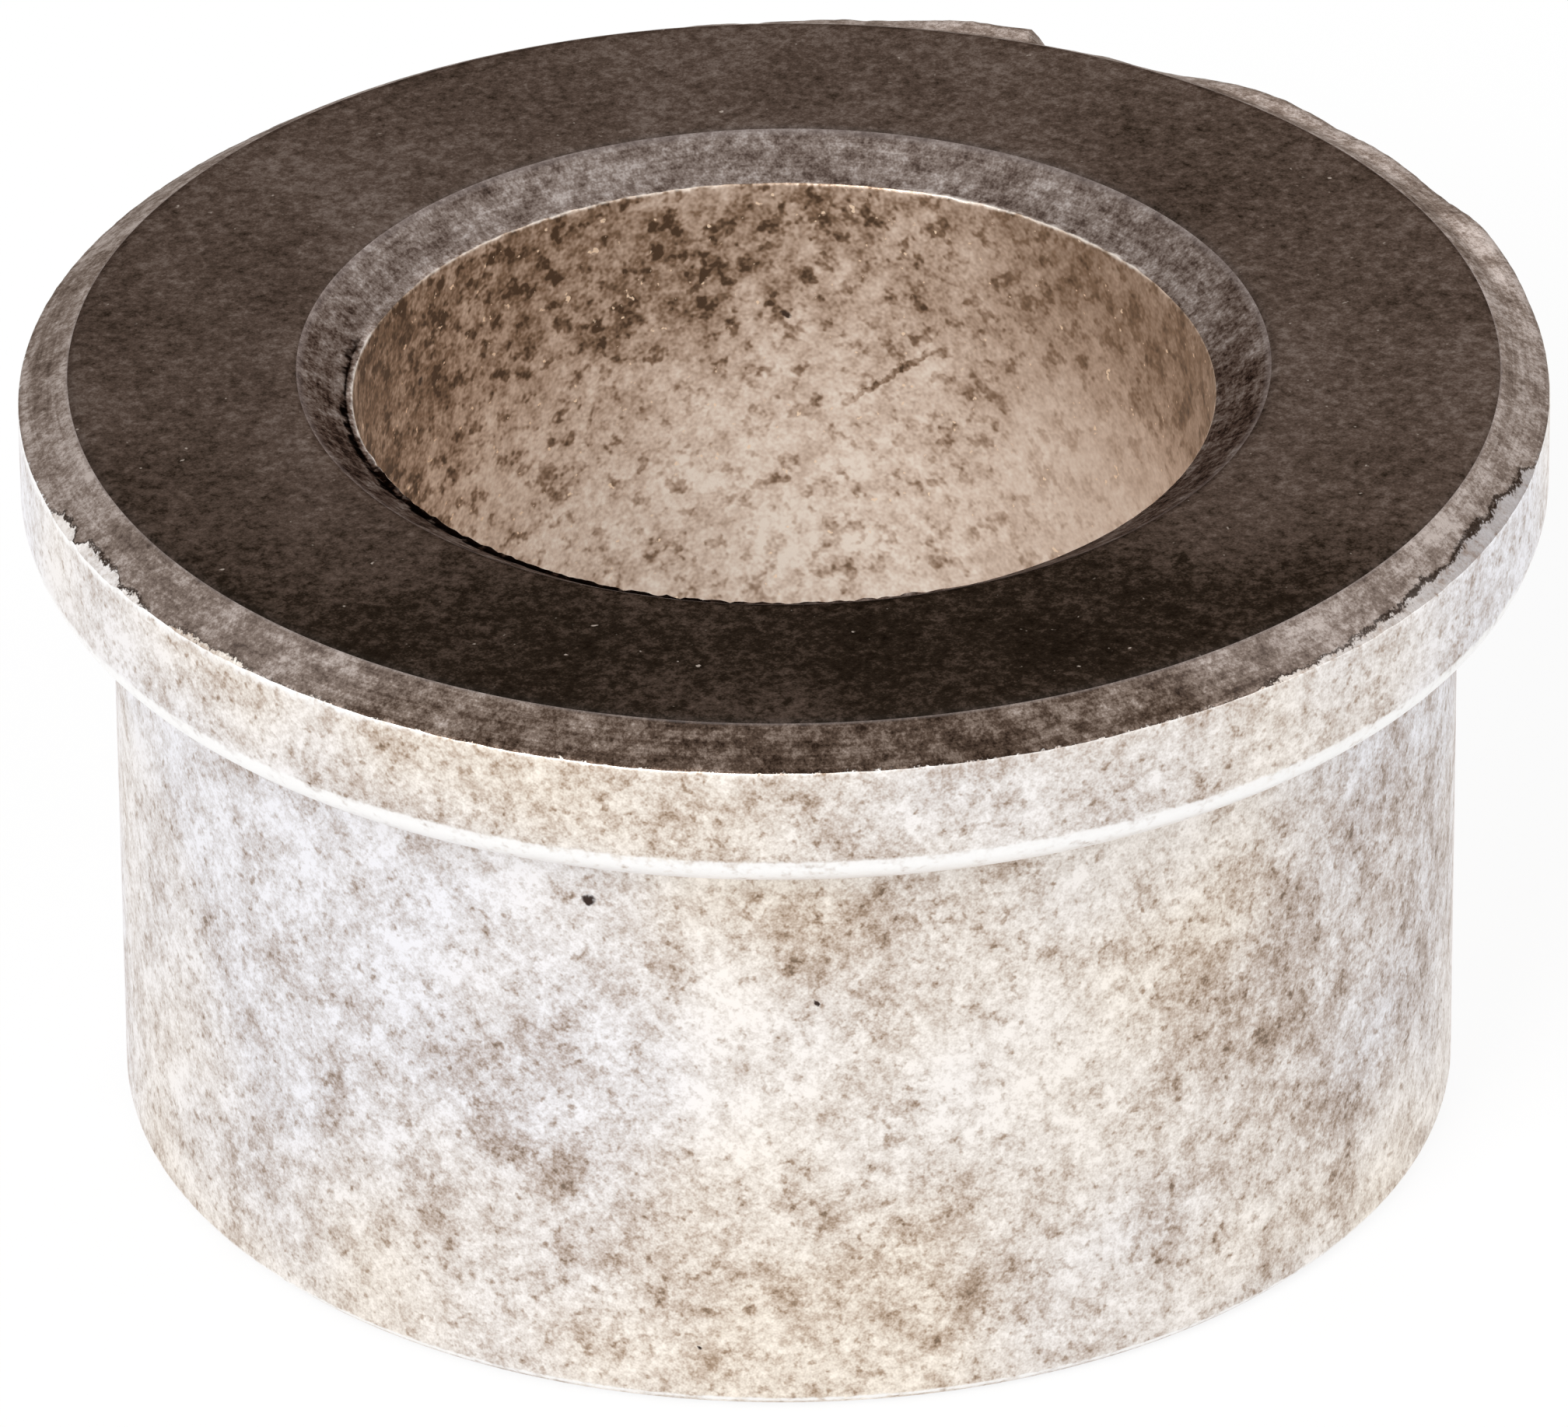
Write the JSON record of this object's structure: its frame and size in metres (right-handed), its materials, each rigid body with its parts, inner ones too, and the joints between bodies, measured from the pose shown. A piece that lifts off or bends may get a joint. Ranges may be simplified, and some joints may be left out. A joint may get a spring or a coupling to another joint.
{
  "type": "flanged sleeve bushing",
  "caption": "Flanged plain bearing sleeve of oil-soaked sintered bronze, with a chamfered bore mouth and a rounded flange edge.",
  "frame": {"origin": "centre of the plain end of the sleeve, the end that it stands on", "axes": "+Z along the bore, from the plain end towards the flange; the part is round, so +X and +Y are any two square directions"},
  "size_m": [0.025, 0.025, 0.0132],
  "materials": {
    "sintered_bronze": "pressed and sintered, sized, oil-soaked; greyish bronze with brown oxide mottling"
  },
  "bodies": {
    "root": {"flanged_bushing": "sintered_bronze"}
  },
  "joints": []
}
